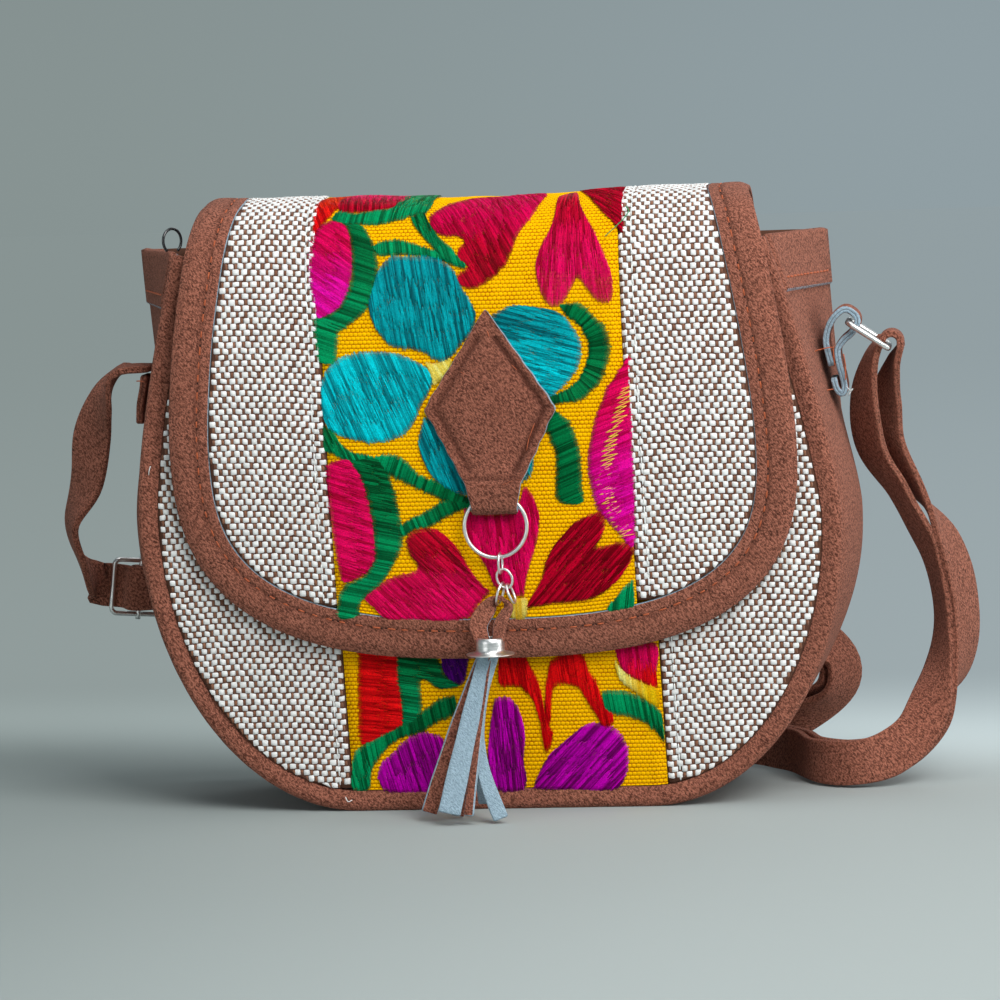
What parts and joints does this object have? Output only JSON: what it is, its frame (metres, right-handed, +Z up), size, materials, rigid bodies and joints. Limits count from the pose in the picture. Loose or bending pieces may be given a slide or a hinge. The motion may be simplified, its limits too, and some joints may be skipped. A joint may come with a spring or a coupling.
{
  "type": "crossbody handbag",
  "caption": "Crossbody saddle bag in linen and embroidered cotton with suede edging, a long suede strap, and a rounded flap with a suede kite, ring and tassel.",
  "frame": {"origin": "middle of the flat base of the bag, on the face that it stands on", "axes": "+X to the right of the front, +Y from the front to the back, +Z up"},
  "size_m": [0.3275, 0.1429, 0.2109],
  "materials": {
    "suede": "brushed nap",
    "pale_suede": "brushed nap",
    "linen": "plain weave",
    "embroidered_cotton": "ribbed weave with satin stitch",
    "steel": "polished",
    "black_wire": "gloss"
  },
  "bodies": {
    "root": {"gusset": "suede", "front_binding": "suede", "back_binding": "suede", "front_left": "linen", "front_right": "linen", "front_band": "embroidered_cotton", "back_panel": "linen", "flap_left": "linen", "flap_right": "linen", "flap_band": "embroidered_cotton", "flap_binding": "suede", "kite_patch": "suede", "o_ring": "steel", "chain_link_1": "steel", "chain_link_2": "steel", "chain_link_3": "steel", "chain_link_4": "steel", "tassel": "pale_suede", "tassel_cap": "steel", "left_tab": "suede", "right_tab": "suede", "right_ring": "steel", "strap": "suede", "strap_slide": "steel", "pull_ring": "black_wire"}
  },
  "joints": []
}
